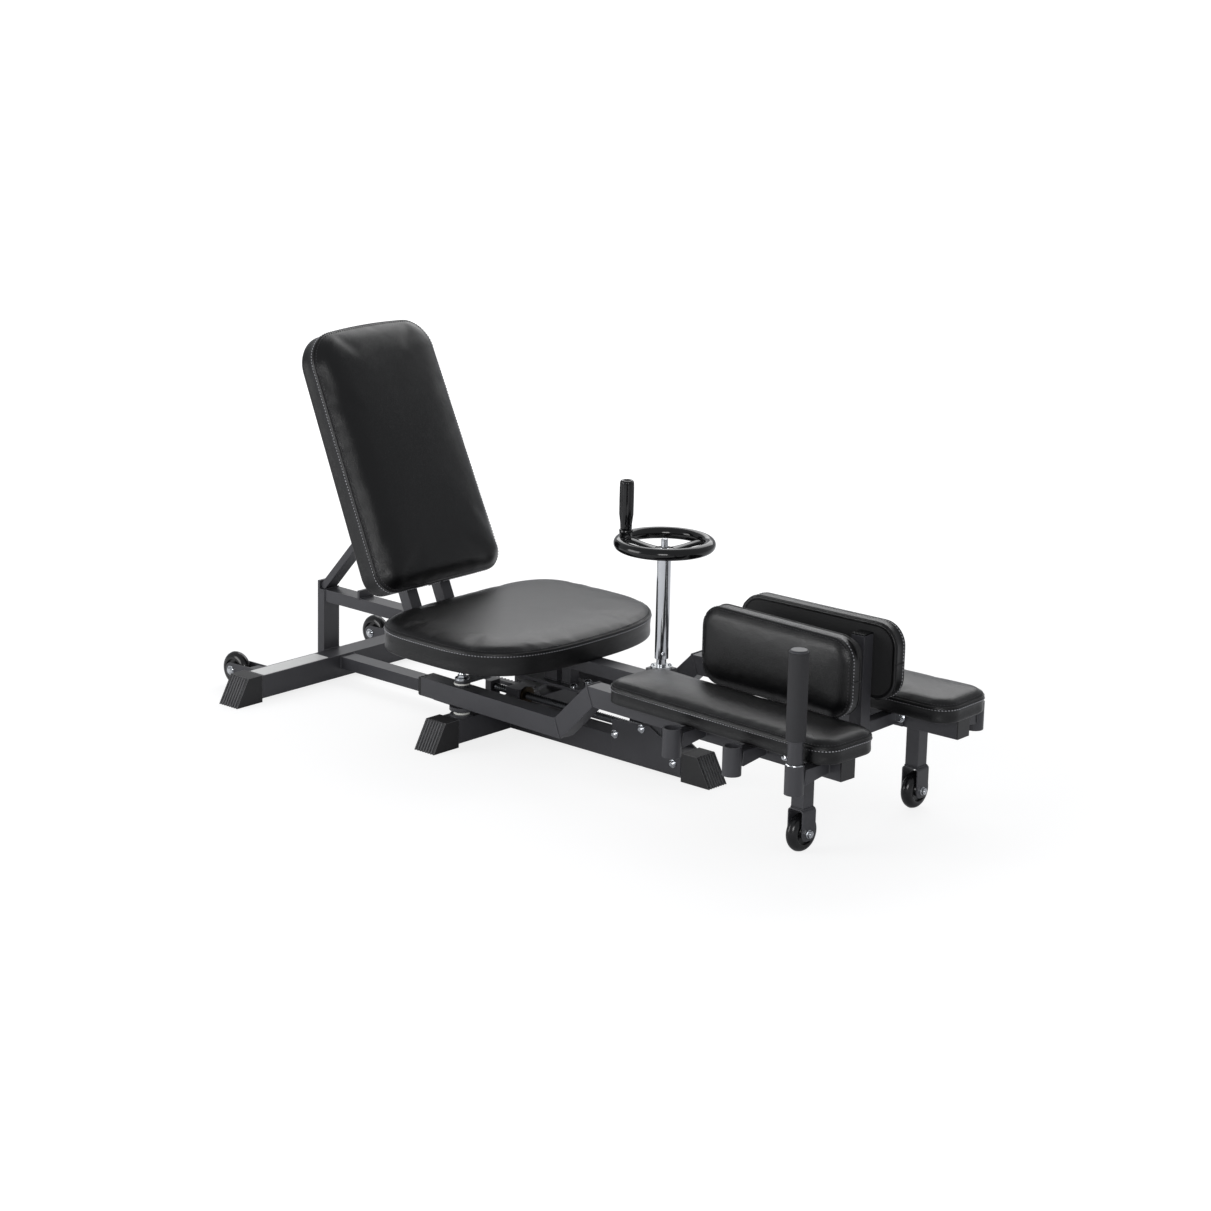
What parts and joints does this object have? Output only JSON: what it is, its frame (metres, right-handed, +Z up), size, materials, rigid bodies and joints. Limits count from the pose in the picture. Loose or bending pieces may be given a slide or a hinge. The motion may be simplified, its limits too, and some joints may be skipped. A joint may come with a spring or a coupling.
{
  "type": "leg stretching machine",
  "caption": "Leg stretching machine with padded seat, folding backrest and leg arms spread by a handwheel through a screw and racks.",
  "frame": {"origin": "middle of the machine's length and width, on the floor", "axes": "+X forward from the backrest to the leg pads, +Y to the sitter's left, +Z up"},
  "size_m": [1.6899, 0.661, 0.7958],
  "materials": {
    "black_steel": "satin black powder coat",
    "vinyl": "black leather-look vinyl",
    "rubber_black": "matt black rubber",
    "foam_black": "fine black foam rubber",
    "chrome_steel": "bright chrome",
    "zinc_steel": "turned and zinc plated",
    "nylon_white": "white nylon",
    "plastic_black": "gloss black plastic",
    "brass_bush": "turned brass",
    "plywood": "bare plywood"
  },
  "bodies": {
    "base": {"rear_stabilizer": "black_steel", "mid_stabilizer": "black_steel", "rear_lower_beam": "black_steel", "front_lower_beam": "black_steel", "rear_upright": "black_steel", "top_beam": "black_steel", "front_post": "black_steel", "front_cheeks": "black_steel", "frame_bolts": "chrome_steel", "end_caps": "rubber_black", "transport_wheel_brackets": "black_steel", "pivot_bolts": "chrome_steel", "pivot_washers": "nylon_white", "seat_bridge": "black_steel", "seat_board": "plywood", "seat_cushion": "vinyl", "screw_front_bush": "brass_bush", "column_bearing": "chrome_steel", "rack_guides": "brass_bush"},
    "backrest": {"backrest_frame": "black_steel", "backrest_board": "plywood", "backrest_cushion": "vinyl"},
    "strut": {"backrest_strut": "black_steel"},
    "near_leg": {"near_arm_rear": "black_steel", "near_arm_front": "black_steel", "near_peg_sleeves": "black_steel", "near_arm_plugs": "plastic_black", "near_sector_gear": "black_steel", "near_leg_board": "plywood", "near_leg_cushion": "vinyl", "near_inner_post": "black_steel", "near_inner_board": "plywood", "near_inner_cushion": "vinyl", "near_caster_fork": "black_steel"},
    "far_leg": {"far_arm_rear": "black_steel", "far_arm_front": "black_steel", "far_peg_sleeves": "black_steel", "far_arm_plugs": "plastic_black", "far_sector_gear": "black_steel", "far_leg_board": "plywood", "far_leg_cushion": "vinyl", "far_inner_post": "black_steel", "far_inner_board": "plywood", "far_inner_cushion": "vinyl", "far_caster_fork": "black_steel"},
    "near_caster": {"near_caster_wheel": "plastic_black"},
    "far_caster": {"far_caster_wheel": "plastic_black"},
    "near_transport": {"near_transport_wheel": "plastic_black"},
    "far_transport": {"far_transport_wheel": "plastic_black"},
    "crank": {"handwheel": "plastic_black", "drive_shaft": "chrome_steel", "handle_spindle": "zinc_steel"},
    "crank_handle": {"handle_grip": "plastic_black"},
    "screw": {"lead_screw": "zinc_steel", "screw_bevel_gear": "zinc_steel"},
    "carriage": {"gear_racks": "black_steel", "rack_saddle": "black_steel", "drive_nut": "brass_bush"},
    "peg": {"foot_peg": "black_steel", "peg_grip": "foam_black"}
  },
  "joints": [
    {"name": "backrest_recline", "type": "hinge", "parent": "base", "child": "backrest", "pos_m": [-0.41596, 0, 0.1825], "axis": [0, 1, 0], "range_deg": [0, 24]},
    {"name": "strut_swing", "type": "hinge", "parent": "backrest", "child": "strut", "pos_m": [-0.54852, 0, 0.42122], "axis": [0, -1, 0], "range_deg": [0, 26.5]},
    {"name": "near_arm_swing", "type": "hinge", "parent": "base", "child": "near_leg", "pos_m": [-0.19096, -0.148, 0.1], "axis": [0, 0, -1], "range_deg": [-1.1, 70]},
    {"name": "far_arm_swing", "type": "hinge", "parent": "base", "child": "far_leg", "pos_m": [-0.19096, 0.148, 0.1], "axis": [0, 0, 1], "range_deg": [-1.1, 70]},
    {"name": "carriage_slide", "type": "slide", "parent": "base", "child": "carriage", "axis": [1, 0, 0], "range_m": [-0.0019, 0.11]},
    {"name": "screw_turn", "type": "hinge", "parent": "base", "child": "screw", "pos_m": [-0.20696, 0, 0.078], "axis": [-1, 0, 0], "range_deg": [-29, 1650]},
    {"name": "handwheel_turn", "type": "hinge", "parent": "base", "child": "crank", "pos_m": [0.22104, 0, 0.474], "axis": [0, 0, -1], "range_deg": [-29, 1650]},
    {"name": "handle_spin", "type": "hinge", "parent": "crank", "child": "crank_handle", "pos_m": [0.13191, -0.01571, 0.54], "axis": [0, 0, 1], "continuous": true},
    {"name": "near_caster_roll", "type": "hinge", "parent": "near_leg", "child": "near_caster", "pos_m": [0.73047, -0.18018, 0.038], "axis": [0.9994, -0.0349, 0], "continuous": true},
    {"name": "far_caster_roll", "type": "hinge", "parent": "far_leg", "child": "far_caster", "pos_m": [0.73047, 0.18018, 0.038], "axis": [0.9994, 0.0349, 0], "continuous": true},
    {"name": "near_transport_roll", "type": "hinge", "parent": "base", "child": "near_transport", "pos_m": [-0.80696, -0.212, 0.039], "axis": [0, 1, 0], "continuous": true},
    {"name": "far_transport_roll", "type": "hinge", "parent": "base", "child": "far_transport", "pos_m": [-0.80696, 0.212, 0.039], "axis": [0, 1, 0], "continuous": true},
    {"name": "peg_lift", "type": "slide", "parent": "near_leg", "child": "peg", "axis": [0, 0, 1], "range_m": [0, 0.06]}
  ],
  "couplings": [
    {"joint": "strut_swing", "follows": "backrest_recline", "ratio": 1.1},
    {"joint": "far_arm_swing", "follows": "near_arm_swing", "ratio": 1},
    {"joint": "carriage_slide", "follows": "near_arm_swing", "m_per_rad": 0.09},
    {"joint": "screw_turn", "follows": "near_arm_swing", "ratio": 23.562},
    {"joint": "handwheel_turn", "follows": "near_arm_swing", "ratio": 23.562}
  ]
}
